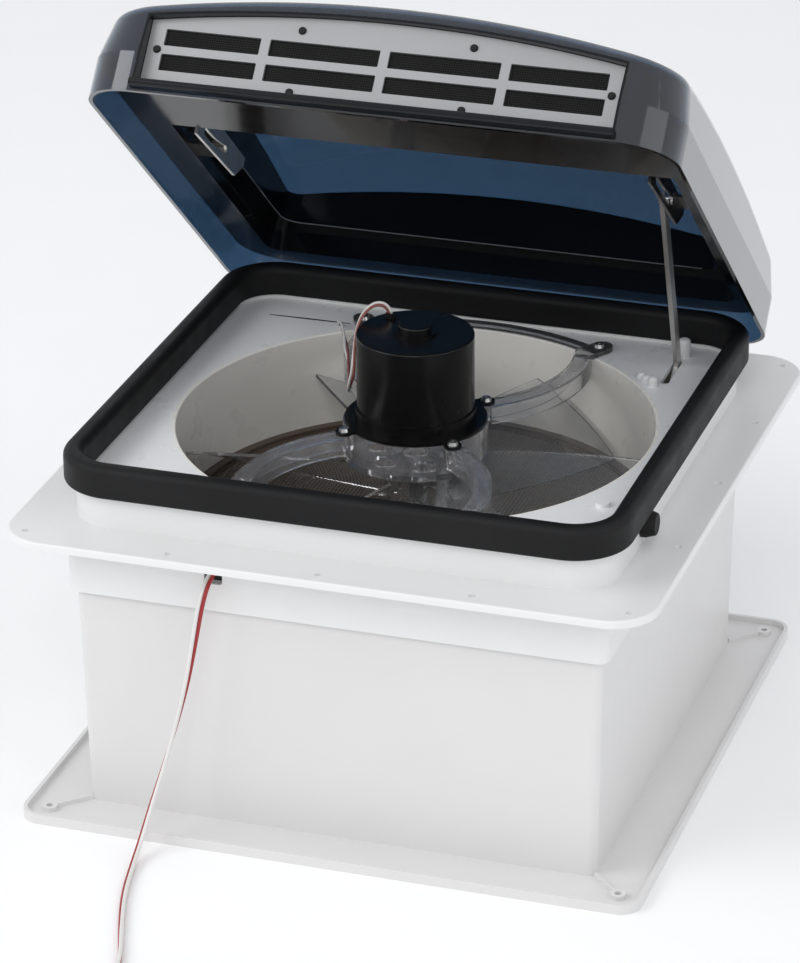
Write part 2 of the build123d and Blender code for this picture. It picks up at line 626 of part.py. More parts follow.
# The tray frames the grille panel, which sits back inside it on a narrow shelf.
with BuildPart() as grille_tray:
    with BuildSketch(lid_front(LID_FRONT)):
        arch_outline(PANEL_SIDE + TRAY_WALL, PANEL_MID + TRAY_WALL, PANEL_HALF + TRAY_WALL, PANEL_LOW - TRAY_WALL)
    extrude(amount=PANEL_FACE - PANEL_THICK - TRAY_SHELF - LID_FRONT)
    with BuildSketch(lid_front(LID_FRONT + 1)):
        arch_outline(PANEL_SIDE + 0.3, PANEL_MID + 0.3, PANEL_HALF + 0.3, PANEL_LOW - 0.3)
    extrude(amount=PANEL_FACE - PANEL_THICK - LID_FRONT - 1, mode=Mode.SUBTRACT)
    with BuildSketch(lid_front(LID_FRONT + 1)):
        arch_outline(PANEL_SIDE - 4, PANEL_MID - 4, PANEL_HALF - 4, PANEL_LOW + 4)
    extrude(amount=-30, mode=Mode.SUBTRACT)
    with BuildSketch(lid_front(PANEL_FACE - PANEL_THICK)):
        with Locations(*GRILLE_SCREWS):
            Circle(SCREW_BOSS)
    extrude(amount=-TRAY_SHELF)
    with BuildSketch(lid_front(PANEL_FACE)):
        with Locations(*GRILLE_SCREWS):
            Circle(1.2)
    extrude(amount=-6, mode=Mode.SUBTRACT)
    with BuildSketch(lid_front(PANEL_FACE - PANEL_THICK)):
        with Locations((0, TRAY_CLEAR - 20)):
            Rectangle(2 * PANEL_HALF + 20, 40)
    extrude(amount=-TRAY_SHELF - 1, mode=Mode.SUBTRACT)
    add(lid_shell(0), mode=Mode.INTERSECT)
    with BuildSketch(lid_side(PANEL_HALF + TRAY_WALL)):
        with Locations((LID_FRONT + 1.5, PANEL_LOW - 2.9)):
            Rectangle(3, 5.2)
        with Locations((LID_FRONT + 3, PANEL_LOW - 2.9)):
            Circle(2.6)
    extrude(amount=2 * (PANEL_HALF + TRAY_WALL))
save(grille_tray, "grille_tray")

with BuildPart() as vent_grille:
    with BuildSketch(lid_front(PANEL_FACE)):
        arch_outline(PANEL_SIDE, PANEL_MID, PANEL_HALF, PANEL_LOW)
        for middle, width in slot_middles():
            for row in SLOT_ROWS:
                with Locations((middle, row)):
                    RectangleRounded(width, SLOT_HIGH, 0.8, mode=Mode.SUBTRACT)
        with Locations(*GRILLE_SCREWS):
            Circle(1.2, mode=Mode.SUBTRACT)
    extrude(amount=-PANEL_THICK)
save(vent_grille, "vent_grille")

with BuildPart() as grille_mesh:
    with BuildSketch(lid_front(PANEL_FACE - PANEL_THICK)):
        with Locations((0, sum(SLOT_ROWS) / 2)):
            Rectangle(2 * PANEL_HALF - 14, SLOT_ROWS[1] - SLOT_ROWS[0] + SLOT_HIGH + 2)
        with Locations(*GRILLE_SCREWS):
            Circle(SCREW_BOSS + 0.2, mode=Mode.SUBTRACT)
    extrude(amount=-0.4)
save(grille_mesh, "grille_mesh")

with BuildPart() as grille_screws:
    for place in GRILLE_SCREWS:
        with BuildSketch(lid_front(PANEL_FACE)):
            with Locations(place):
                Circle(2.6)
        extrude(amount=1.3, taper=20)
        with BuildSketch(lid_front(PANEL_FACE)):
            with Locations(place):
                Circle(1.2)
        extrude(amount=-6 if place[1] > TRAY_CLEAR else -PANEL_THICK)
save(grille_screws, "grille_screws")

# The liner closes on the seal and steps inwards up to the roof. It is cut away at the front.
LINER_GAP = 0.4
LINER_WALL = 2.0
LINER_STEP = SEAT + 20.0
LINER_INSETS = (19.0, 29.0)     # from the outside of the flange to the lower and the upper wall
liner_wide = LID_WIDE - 2 * LID_WALL - 2 * LINER_GAP
liner_deep = LID_DEEP - 2 * LID_WALL - 2 * LINER_GAP
BAFFLE_BACK = 252.0

with BuildPart() as lid_liner:
    for low, high, outer, inner in (
        (SEAT, SEAT + LINER_WALL, 0, LINER_INSETS[0] + LINER_WALL),
        (SEAT, LINER_STEP, LINER_INSETS[0], LINER_INSETS[0] + LINER_WALL),
        (LINER_STEP - LINER_WALL, LINER_STEP, LINER_INSETS[0], LINER_INSETS[1] + LINER_WALL),
        (LINER_STEP - LINER_WALL, LID_MID_TOP + CROWN, LINER_INSETS[1], LINER_INSETS[1] + LINER_WALL),
    ):
        with BuildSketch(LID.offset(low)):
            with Locations((0, LID_MIDDLE)):
                corner = max(LID_CORNER - LID_WALL - LINER_GAP - outer, 12)
                RectangleRounded(liner_wide - 2 * outer, liner_deep - 2 * outer, corner)
                RectangleRounded(
                    liner_wide - 2 * inner, liner_deep - 2 * inner, max(corner - inner + outer, 9), mode=Mode.SUBTRACT
                )
        extrude(amount=high - low)
    with BuildSketch(LID.offset(SEAT + LINER_WALL)):
        with Locations((0, -(BAFFLE_BACK + 60))):
            Rectangle(2 * (PANEL_HALF + TRAY_WALL + 1), 120)
    extrude(amount=LID_MID_TOP, mode=Mode.SUBTRACT)
    with BuildSketch(LID.offset(SEAT - 1)):
        with Locations((0, -(PANEL_FACE + 10))):
            Rectangle(2 * (PANEL_HALF + TRAY_WALL + 1), 34)
    extrude(amount=LID_MID_TOP, mode=Mode.SUBTRACT)
    add(lid_shell(LID_WALL + LINER_GAP), mode=Mode.INTERSECT)
save(lid_liner, "lid_liner")

# A shelf behind the front wall keeps rain that passes the grille out of the fan.
with BuildPart() as rain_baffle:
    baffle_front = -LID_MIDDLE + liner_deep / 2 - LINER_INSETS[0] - LINER_WALL
    baffle_wide = liner_wide - 2 * (LINER_INSETS[0] + LINER_WALL)
    with BuildSketch(LID.offset(SEAT)) as shelf:
        with Locations((0, -(BAFFLE_BACK + baffle_front) / 2)):
            Rectangle(baffle_wide, baffle_front - BAFFLE_BACK)
        fillet(shelf.vertices().group_by(Axis.Y)[0], 10)
    extrude(amount=LINER_WALL)
    with BuildSketch(LID.offset(SEAT)):
        with Locations((0, -BAFFLE_BACK - 1)):
            Rectangle(baffle_wide, LINER_WALL)
    extrude(amount=7)
save(rain_baffle, "rain_baffle")

# ---------------------------------------------------------------- lid lift: arm, rails, gears
ARM_RATIO = 1.35                 # turn of the arm for each turn of the lid
ARM_WIDE = 9.0
CLOSED_ELBOW = Vector(0, -4, 32.5)
GEAR_TURN = 360 / GEAR_TEETH
TOOTH_HIGH = 1.4                # above and below the pitch line


def pin_in_lid(closing):
    """Where the pin sits in the lid's own frame once the lid has closed by this many degrees."""
    hinge = Vector(0, HINGE_Y, HINGE_Z)
    pivot = Vector(0, PIVOT_Y, PIVOT_Z)
    moved = pivot + (lid_point(0, *PIN_OPEN) - pivot).rotate(Axis.X, ARM_RATIO * closing)
    in_lid = LID.to_local_coords(hinge + (moved - hinge).rotate(Axis.X, -closing))
    return (-in_lid.Y, in_lid.Z)


def side_plane(x):
    """A plane across the base, facing right: sketch X is the model's Y, sketch Y its Z."""
    return Plane(origin=(x, 0, 0), x_dir=(0, 1, 0), z_dir=(1, 0, 0))


PIVOT = Vector(0, PIVOT_Y, PIVOT_Z)
PIN = lid_point(0, *PIN_OPEN)
ELBOW = PIVOT + CLOSED_ELBOW.rotate(Axis.X, -ARM_RATIO * LID_OPEN)
ARM_POINTS = [(point.Y, point.Z) for point in (PIVOT, ELBOW, PIN)]

# The arm is upright below the deck and leans out a little above it, to reach the rail.
with BuildPart() as lift_arm:
    with BuildSketch(side_plane(ARM_FOOT_X)):
        with BuildLine():
            Line(ARM_POINTS[0], ARM_POINTS[1])
        trace(line_width=ARM_WIDE)
        with Locations(*ARM_POINTS[:2]):
            Circle(ARM_WIDE / 2)
    extrude(amount=ARM_THICK)
    with BuildLine():
        lean = Line(
            ELBOW + Vector(ARM_FOOT_X + ARM_THICK / 2, 0, 0),
            PIN + Vector(ARM_X + ARM_THICK / 2, 0, 0),
        )
    with BuildSketch(Plane(origin=lean @ 0, x_dir=(1, 0, 0), z_dir=lean % 0)):
        Rectangle(ARM_THICK, ARM_WIDE)
    sweep(path=lean)
    with BuildSketch(side_plane(ARM_X)):
        with Locations(ARM_POINTS[2]):
            Circle(ARM_WIDE / 2)
    extrude(amount=ARM_THICK)
    with BuildSketch(side_plane(ARM_FOOT_X - 1)):
        with Locations(ARM_POINTS[0]):
            Circle(2.55)
    extrude(amount=ARM_THICK + 2, mode=Mode.SUBTRACT)
    with BuildSketch(side_plane(ARM_X)):
        with Locations(ARM_POINTS[2]):
            Circle(PIN_RADIUS)
    extrude(amount=ARM_THICK + 3, mode=Mode.SUBTRACT)
    with BuildSketch(side_plane(ARM_X)):
        with Locations(ARM_POINTS[2]):
            Circle(PIN_HEAD + 0.3)
    extrude(amount=-4, mode=Mode.SUBTRACT)
save(lift_arm, "lift_arm")

with BuildPart() as arm_pin:
    with BuildSketch(side_plane(ARM_X - 1.2)):
        with Locations(ARM_POINTS[2]):
            Circle(PIN_HEAD)
    extrude(amount=1.2)
    with BuildSketch(side_plane(ARM_X)):
        with Locations(ARM_POINTS[2]):
            Circle(PIN_RADIUS)
    extrude(amount=RAIL_X + RAIL_THICK + 0.6 - ARM_X)
    with BuildSketch(side_plane(RAIL_X + RAIL_THICK + 0.6)):
        with Locations(ARM_POINTS[2]):
            Circle(PIN_RADIUS + 1.8)
    extrude(amount=1.5)
save(arm_pin, "arm_pin")

RAIL_LOW, RAIL_HIGH = 18.5, LINER_STEP - LINER_WALL
RAIL_BACK, RAIL_FRONT = 150.0, 248.0

for side, name in ((1, "right_rail"), (-1, "left_rail")):
    rail_outer = RAIL_X + RAIL_THICK if side > 0 else -RAIL_X
    tab_outer = liner_wide / 2 - LINER_INSETS[0] - LINER_WALL - 0.4
    with BuildPart() as rail:
        with BuildSketch(lid_side(rail_outer)):
            with BuildLine():
                Polyline(
                    (RAIL_BACK + 12, RAIL_LOW + 4), (RAIL_FRONT, RAIL_LOW), (RAIL_FRONT, RAIL_HIGH),
                    (RAIL_BACK, RAIL_HIGH), (RAIL_BACK, RAIL_HIGH - 6), (RAIL_BACK + 12, RAIL_LOW + 4),
                )
            make_face()
            with BuildLine():
                Spline(*[pin_in_lid(step * LID_OPEN / 4) for step in range(5)])
            trace(line_width=2 * PIN_RADIUS + 1.0, mode=Mode.SUBTRACT)
            with Locations(pin_in_lid(0), pin_in_lid(LID_OPEN)):
                Circle(PIN_RADIUS + 0.5, mode=Mode.SUBTRACT)
        extrude(amount=RAIL_THICK)
        with BuildSketch(LID.offset(RAIL_HIGH - RAIL_THICK)):
            for forward in (RAIL_BACK + 12, RAIL_FRONT - 14):
                with Locations((side * (RAIL_X + tab_outer) / 2, -forward)):
                    Rectangle(tab_outer - RAIL_X, 22)
        extrude(amount=RAIL_THICK)
    save(rail, name)

with BuildPart() as sector_gear:
    with BuildSketch(side_plane(GEAR_X)):
        with Locations(ARM_POINTS[0]):
            Circle(GEAR_RADIUS - TOOTH_HIGH)
        for tooth in range(-5, 2):
            angle = (tooth + 0.5) * GEAR_TURN
            with Locations(ARM_POINTS[0]):
                with PolarLocations(GEAR_RADIUS - 0.5, 1, start_angle=angle):
                    Trapezoid(2.4, 3, 76, rotation=-90)
        with Locations(ARM_POINTS[0]):
            Circle(2.55, mode=Mode.SUBTRACT)
    extrude(amount=GEAR_WIDE)
    with BuildSketch(side_plane(ARM_FOOT_X + ARM_THICK)):
        with Locations(ARM_POINTS[0]):
            Circle(6)
            Circle(2.55, mode=Mode.SUBTRACT)
    extrude(amount=GEAR_X - ARM_FOOT_X - ARM_THICK)
save(sector_gear, "sector_gear")

WORM_LOW, WORM_HIGH = 190.0, 203.5
WORM_PITCH = pi * GEAR_MODULE
SHAFT_LOW = 44.0
worm_axis = Vector(WORM_X, WORM_Y, 0)

with BuildPart() as lift_worm:
    with BuildSketch(Plane(origin=worm_axis + Vector(0, 0, WORM_LOW - 3))):
        Circle(WORM_RADIUS - TOOTH_HIGH - 0.2)
    extrude(amount=WORM_HIGH - WORM_LOW + 4)
    # The thread is level with the arm's pivot where it faces the gear, at a quarter turn before +X.
    thread_start = PIVOT_Z - WORM_PITCH * 2 + WORM_PITCH / 4
    with BuildLine():
        helix = Helix(
            pitch=WORM_PITCH, height=WORM_PITCH * 3, radius=WORM_RADIUS - 0.3,
            center=worm_axis + Vector(0, 0, thread_start),
        )
    with BuildSketch(Plane(origin=helix @ 0, x_dir=(1, 0, 0), z_dir=helix % 0)):
        Trapezoid(1.9, 3, 80, rotation=-90)
    sweep(path=helix, is_frenet=True)
save(lift_worm, "lift_worm")

with BuildPart() as crank_shaft:
    with BuildSketch(Plane(origin=worm_axis + Vector(0, 0, SHAFT_LOW))):
        Circle(2.5)
    extrude(amount=WORM_LOW - 3 - SHAFT_LOW)
save(crank_shaft, "crank_shaft")

KNOB_RADIUS, KNOB_TALL = 14.0, 20.0
with BuildPart() as crank_knob:
    with BuildSketch(Plane(origin=worm_axis + Vector(0, 0, SHAFT_LOW + 6 - KNOB_TALL))):
        Circle(KNOB_RADIUS)
        with PolarLocations(KNOB_RADIUS + 1.6, 12):
            Circle(3, mode=Mode.SUBTRACT)
    extrude(amount=KNOB_TALL)
    with BuildSketch(Plane(origin=worm_axis + Vector(0, 0, SHAFT_LOW))):
        Circle(2.5)
    extrude(amount=6, mode=Mode.SUBTRACT)
save(crank_knob, "crank_knob")

CASE_X, CASE_Y = (129.5, 151.5), (PIVOT_Y - 21, PIVOT_Y + 38)
CASE_FLOOR = PIVOT_Z - GEAR_RADIUS - 5
CASE_WALL = 2.0
case_middle = (sum(CASE_X) / 2, sum(CASE_Y) / 2)
case_size = (CASE_X[1] - CASE_X[0], CASE_Y[1] - CASE_Y[0])

with BuildPart() as gear_case:
    with BuildSketch(Plane.XY.offset(CASE_FLOOR)):
        with Locations(case_middle):
            RectangleRounded(*case_size, 4)
    extrude(amount=DECK - DECK_THICK - CASE_FLOOR)
    with BuildSketch(Plane.XY.offset(CASE_FLOOR + CASE_WALL)):
        with Locations(case_middle):
            RectangleRounded(case_size[0] - 2 * CASE_WALL, case_size[1] - 2 * CASE_WALL, 2)
    extrude(amount=DECK, mode=Mode.SUBTRACT)
    with BuildSketch(Plane(origin=worm_axis + Vector(0, 0, CASE_FLOOR - 8))):
        Circle(6)
    extrude(amount=8 + CASE_WALL)
    with BuildSketch(Plane(origin=worm_axis + Vector(0, 0, CASE_FLOOR - 8))):
        Circle(2.56)
    extrude(amount=12, mode=Mode.SUBTRACT)
    with BuildSketch(side_plane(CASE_X[0])):
        with Locations(ARM_POINTS[0]):
            Circle(2.5)
    extrude(amount=case_size[0], mode=Mode.SUBTRACT)
save(gear_case, "gear_case")

with BuildPart() as arm_pivot:
    with BuildSketch(side_plane(CASE_X[0])):
        with Locations(ARM_POINTS[0]):
            Circle(2.5)
    extrude(amount=case_size[0])
    with BuildSketch(side_plane(CASE_X[1])):
        with Locations(ARM_POINTS[0]):
            Circle(4)
    extrude(amount=1.5)
save(arm_pivot, "arm_pivot")

# Small posts on the deck beside the arm.
DECK_POSTS = (
    (139.0, 146.2, 4.2, 13.0), (126.0, 99.5, 3.6, 4.5), (131.5, 93.5, 3.4, 6.5), (121.0, 105.5, 3.2, 3.5),
)
with BuildPart() as deck_posts:
    for x, y, radius, tall in DECK_POSTS:
        with BuildSketch(Plane(origin=(x, y, DECK))):
            Circle(radius)
        extrude(amount=tall)
    fillet(deck_posts.edges().filter_by(GeomType.CIRCLE).filter_by(lambda edge: edge.center().Z > DECK + 1), 2.4)
save(deck_posts, "deck_posts")

# ---------------------------------------------------------------- hinges
HINGE_X = 120.0
BARREL = 3.6
HINGE_PIN = 2.0
KNUCKLE_HALF = 3.6
COLLAR_BACK = COLLAR_Y + COLLAR_DEEP / 2

with BuildPart() as hinge_brackets:
    for middle in (-HINGE_X, HINGE_X):
        with BuildSketch(side_plane(middle - 13)):
            with Locations(((COLLAR_BACK + HINGE_Y + 3.4) / 2, ROOF + 4)):
                Rectangle(HINGE_Y + 3.4 - COLLAR_BACK, 5)
        extrude(amount=26)
        for low in (middle - 13, middle + KNUCKLE_HALF + 0.4):
            with BuildSketch(side_plane(low)):
                with Locations((HINGE_Y, (ROOF + 6 + HINGE_Z) / 2)):
                    Rectangle(2 * BARREL - 1, HINGE_Z - ROOF - 6)
                with Locations((HINGE_Y, HINGE_Z)):
                    Circle(BARREL)
                    Circle(HINGE_PIN, mode=Mode.SUBTRACT)
            extrude(amount=13 - KNUCKLE_HALF - 0.4)
save(hinge_brackets, "hinge_brackets")

with BuildPart() as hinge_pins:
    for middle in (-HINGE_X, HINGE_X):
        with BuildSketch(side_plane(middle - 14.5)):
            with Locations((HINGE_Y, HINGE_Z)):
                Circle(HINGE_PIN)
        extrude(amount=29)
save(hinge_pins, "hinge_pins")

# A thin strap joins each knuckle, which hangs below the rim, to the inside of the back wall.
STRAP = 1.3
HINGE_DROP = -LID.to_local_coords(Vector(0, HINGE_Y, HINGE_Z)).Z
with BuildPart() as lid_knuckles:
    for middle in (-HINGE_X, HINGE_X):
        with BuildSketch(LID.offset(-HINGE_DROP)):
            with Locations((middle, LID_BACK - LID_WALL - STRAP / 2)):
                Rectangle(2 * KNUCKLE_HALF, STRAP)
        extrude(amount=HINGE_DROP + 14)
        with BuildSketch(LID.offset(-HINGE_DROP - 1.2)):
            with Locations((middle, (LID_BACK - LID_WALL) / 2)):
                Rectangle(2 * KNUCKLE_HALF, LID_BACK - LID_WALL)
        extrude(amount=2.4)
        with BuildSketch(side_plane(middle - KNUCKLE_HALF)):
            with Locations((HINGE_Y, HINGE_Z)):
                Circle(BARREL)
        extrude(amount=2 * KNUCKLE_HALF)
        with BuildSketch(side_plane(middle - KNUCKLE_HALF)):
            with Locations((HINGE_Y, HINGE_Z)):
                Circle(HINGE_PIN + 0.05)
        extrude(amount=2 * KNUCKLE_HALF, mode=Mode.SUBTRACT)
save(lid_knuckles, "lid_knuckles")

# ---------------------------------------------------------------- rain sensor, leads
SENSOR_Y, SENSOR_Z = -98.0, ROOF + 13.5
with BuildPart() as rain_sensor:
    with BuildSketch(side_plane(COLLAR_WIDE / 2)):
        with Locations((SENSOR_Y, SENSOR_Z)):
            Circle(9)
    extrude(amount=3)
    with BuildSketch(side_plane(COLLAR_WIDE / 2 + 3)):
        with Locations((SENSOR_Y, SENSOR_Z)):
            Circle(9)
    extrude(amount=6.5, taper=18)
    fillet(rain_sensor.edges().group_by(Axis.X)[-1], 1.2)
save(rain_sensor, "rain_sensor")

LEAD_PAIR = 3.6


def fan_point(radius, angle, height):
    """A point about the fan axis."""
    return Vector(*polar(radius, angle), height) + Vector(*FAN_CENTRE, 0)


def route_radii(route):
    """The largest radius that the two runs at each corner allow, at 0.45 of the shorter run."""
    radii = []
    for before, corner, after in zip(route, route[1:], route[2:]):
        arriving = Vector(*corner) - Vector(*before)
        leaving = Vector(*after) - Vector(*corner)
        half_turn = radians(arriving.get_angle(leaving)) / 2
        radii.append(0.45 * min(arriving.length, leaving.length) / tan(half_turn))
    return radii


# Radius, angle and height about the fan axis: up from the can, over its edge, down its side, along an arm.
MOTOR_LEAD_ROUTE = [
    fan_point(radius, angle, height)
    for radius, angle, height in (
        (30, 140, MOTOR_TOP + 2.5),
        (31, 143, MOTOR_TOP + 9),
        (37, 156, MOTOR_TOP + 10),
        (41.0, 172, MOTOR_TOP + 1),
        (40.5, 185, MOTOR_TOP - 15),
        (40.5, 190, MOTOR_TOP - 31),
        (47, 178, MOTOR_TOP - 48),
        (56, 158, MOTOR_TOP - 53),
        (76, 142, MOTOR_TOP - 54),
        (108, 133, MOTOR_TOP - 54),
        (140, 128, MOTOR_TOP - 54),
        (160, 126.5, DECK + 7),
        (166, 126, DECK),
    )
]

with BuildPart() as motor_grommet:
    with BuildSketch(Plane(origin=fan_point(30, 140, MOTOR_TOP))):
        Circle(3.4)
    extrude(amount=2.5)
save(motor_grommet, "motor_grommet")

with BuildPart() as motor_leads:
    leads_radii = route_radii(MOTOR_LEAD_ROUTE)
    with BuildLine():
        leads_path = FilletPolyline(*MOTOR_LEAD_ROUTE, radius=leads_radii)
    with BuildSketch(Plane(origin=leads_path @ 0, z_dir=leads_path % 0)):
        Circle(LEAD_PAIR / 2)
    sweep(path=leads_path)
save(motor_leads, "motor_leads")
print("motor lead radii", [round(radius, 1) for radius in leads_radii])
print("motor lead length", round(leads_path.length, 1))

# The power lead hangs from the notch in the spigot, bends on to the floor and runs to its coil.
LEAD_ROUTE = [
    LEAD_START,
    (-77.5, -186.5, 181.5),
    (-79.5, -194.5, 168),
    (-84.5, -193, 143),
    (-92, -191.5, 106),
    (-101.5, -198, 66),
    (-110.5, -210, 30),
    (-114.5, -220, 9),
    (-112.5, -240, 2.8),
    (-105, -275, 2.6),
    (-91, -316, 2.6),
    (-77, -352, 2.6),
    (-72, -390, 2.6),
]
COIL_RADIUS = 28.0              # to the middle of the turns, about 11 lead widths across
COIL_CENTRE = (LEAD_ROUTE[-1][0] + COIL_RADIUS, LEAD_ROUTE[-1][1] - 14)


with BuildPart() as power_lead:
    radii = route_radii(LEAD_ROUTE)
    with BuildLine():
        lead_path = FilletPolyline(*LEAD_ROUTE, radius=radii)
    with BuildSketch(Plane(origin=lead_path @ 0, z_dir=lead_path % 0)):
        Circle(LEAD_WIDE / 2)
    sweep(path=lead_path)
save(power_lead, "power_lead")
print("lead radii", [round(radius, 1) for radius in radii])
print("lead length", round(lead_path.length, 1), "volume / section", round(
    power_lead.part.volume / (pi * LEAD_WIDE ** 2 / 4), 1))

with BuildPart() as lead_coil:
    with BuildSketch(Plane(origin=(*COIL_CENTRE, 0))):
        Circle(COIL_RADIUS + LEAD_WIDE)
        Circle(COIL_RADIUS - LEAD_WIDE, mode=Mode.SUBTRACT)
    extrude(amount=2 * LEAD_WIDE)
save(lead_coil, "lead_coil")

# A block behind the notch in the spigot grips the lead. Its neck fills the notch.
spigot_inside = -(SPIGOT_SIDE / 2 - SHELL)
with BuildPart() as lead_gland:
    with BuildSketch(Plane.XZ.offset(-spigot_inside)):
        with Locations((LEAD_START[0], LEAD_START[2])):
            RectangleRounded(18, 12, 2)
    extrude(amount=-6)
    with BuildSketch(Plane.XZ.offset(-LEAD_START[1])):
        with Locations((LEAD_START[0], LEAD_START[2])):
            RectangleRounded(LEAD_NOTCH[0] - 0.4, 7.6, 2)
    extrude(amount=LEAD_START[1] - spigot_inside)
save(lead_gland, "lead_gland")
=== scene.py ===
"""A powered roof vent: its materials, wires, woven screens and small details, with a camera and lights."""

import math

import bmesh
import bpy
from mathutils import Matrix, Vector


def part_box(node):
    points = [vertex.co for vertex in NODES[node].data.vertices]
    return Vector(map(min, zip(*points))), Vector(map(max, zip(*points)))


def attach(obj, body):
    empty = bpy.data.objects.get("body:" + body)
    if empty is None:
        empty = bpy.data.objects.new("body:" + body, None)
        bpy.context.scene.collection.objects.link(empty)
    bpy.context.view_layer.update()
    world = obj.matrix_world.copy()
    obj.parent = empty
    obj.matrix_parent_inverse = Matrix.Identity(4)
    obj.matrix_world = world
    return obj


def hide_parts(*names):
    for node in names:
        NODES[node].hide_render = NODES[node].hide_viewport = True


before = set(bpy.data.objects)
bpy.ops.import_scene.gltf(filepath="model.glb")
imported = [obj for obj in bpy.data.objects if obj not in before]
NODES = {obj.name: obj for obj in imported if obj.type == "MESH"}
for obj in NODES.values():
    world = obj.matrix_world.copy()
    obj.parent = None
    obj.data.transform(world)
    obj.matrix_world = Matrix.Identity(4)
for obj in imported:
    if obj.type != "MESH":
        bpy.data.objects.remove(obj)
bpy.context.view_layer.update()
SCENE = bpy.context.scene
MM = 0.001

# ---------------------------------------------------------------- camera
CAMERA_AT = Vector((0.8113, -2.5084, 1.4006))
CAMERA_YAW, CAMERA_PITCH, CAMERA_ROLL = -0.3174, 0.4346, -0.0078
CAMERA_LENS = 167.1


def add_camera():
    """The camera stands to the right of the front, well above the lid."""
    forward = Vector((
        math.sin(CAMERA_YAW) * math.cos(CAMERA_PITCH),
        math.cos(CAMERA_YAW) * math.cos(CAMERA_PITCH),
        -math.sin(CAMERA_PITCH),
    ))
    level = Vector((math.cos(CAMERA_YAW), -math.sin(CAMERA_YAW), 0))
    above = level.cross(forward)
    right = level * math.cos(CAMERA_ROLL) + above * math.sin(CAMERA_ROLL)
    up = above * math.cos(CAMERA_ROLL) - level * math.sin(CAMERA_ROLL)
    data = bpy.data.cameras.new("camera")
    data.lens = CAMERA_LENS
    data.sensor_width = 36
    data.clip_end = 50
    camera = bpy.data.objects.new("camera", data)
    SCENE.collection.objects.link(camera)
    turn = Matrix((right, up, -forward)).transposed()
    camera.matrix_world = Matrix.Translation(CAMERA_AT) @ turn.to_4x4()
    SCENE.camera = camera


add_camera()

# ---------------------------------------------------------------- building wires, strands and weaves
WIRES_APART = 0.97              # between the middles of a pair, in wire widths, so that the two are joined
WEAVE_LIFT = 0.55               # how far a strand bends over or under another, in strand thicknesses


def spline_points(name, points):
    """Points along a smooth NURBS line whose control points are given in millimetres."""
    curve = bpy.data.curves.new(name, "CURVE")
    curve.dimensions = "3D"
    spline = curve.splines.new("NURBS")
    spline.points.add(len(points) - 1)
    for control, place in zip(spline.points, points):
        control.co = (*[value * MM for value in place], 1)
    spline.order_u = 3
    spline.use_endpoint_u = True
    spline.resolution_u = 6
    route = bpy.data.objects.new(name, curve)
    SCENE.collection.objects.link(route)
    mesh = bpy.data.meshes.new_from_object(route)
    line = [vertex.co.copy() for vertex in mesh.vertices]
    bpy.data.objects.remove(route)
    bpy.data.meshes.remove(mesh)
    return line


def carried_frames(line):
    """A direction across the line at each of its points, carried along without spinning."""
    across = (line[1] - line[0]).cross(Vector((0, 0, 1))).normalized()
    for index, place in enumerate(line):
        ahead = line[min(index + 1, len(line) - 1)]
        behind = line[max(index - 1, 0)]
        along = (ahead - behind).normalized()
        across = (across - along * across.dot(along)).normalized()
        yield place, along, across


def join_rings(shape, rings, slot=0, smooth=False):
    """Skins a run of rings of vertices and closes both of its ends."""
    for ring, after in zip(rings, rings[1:]):
        for side in range(len(ring)):
            face = shape.faces.new((ring[side - 1], ring[side], after[side], after[side - 1]))
            face.material_index = slot
            face.smooth = smooth
    for ring in (rings[0], rings[-1]):
        shape.faces.new(ring).material_index = slot


def add_tube(shape, path, radius, slot, sides=10):
    """A tube with closed ends about a list of points."""
    rings = []
    for place, along, across in carried_frames(path):
        other = along.cross(across)
        ring = []
        for side in range(sides):
            angle = 2 * math.pi * side / sides
            out = across * math.cos(angle) + other * math.sin(angle)
            ring.append(shape.verts.new(place + out * radius))
        rings.append(ring)
    join_rings(shape, rings, slot, smooth=True)


def link_shape(name, shape, materials):
    """Turns a bmesh into an object in the scene, with these materials."""
    bmesh.ops.recalc_face_normals(shape, faces=shape.faces)
    mesh = bpy.data.meshes.new(name)
    shape.to_mesh(mesh)
    shape.free()
    for material in materials:
        mesh.materials.append(material)
    piece = bpy.data.objects.new(name, mesh)
    SCENE.collection.objects.link(piece)
    return piece


def twin_wire(name, line, wide, materials, start, swing, rate):
    """Two insulated wires side by side along a line.

    The pair starts at one angle about the line and swings to and fro from it, at a rate for each metre.
    """
    shape = bmesh.new()
    radius = wide / 4
    for slot, side in enumerate((-1, 1)):
        strand = []
        gone = 0.0
        last = line[0]
        for place, along, across in carried_frames(line):
            gone += (place - last).length
            last = place
            turn = Matrix.Rotation(start + swing * math.sin(rate * gone), 3, along)
            strand.append(place + turn @ across * (side * radius * WIRES_APART))
        add_tube(shape, strand, radius, slot)
    return link_shape(name, shape, materials)


def add_strand(shape, points, across, above, wide, thick):
    """A flat woven strand: a box section along a list of points."""
    corners = ((-1, -1), (1, -1), (1, 1), (-1, 1))
    rings = [
        [shape.verts.new(place + across * (i * wide / 2) + above * (j * thick / 2)) for i, j in corners]
        for place in points
    ]
    join_rings(shape, rings)


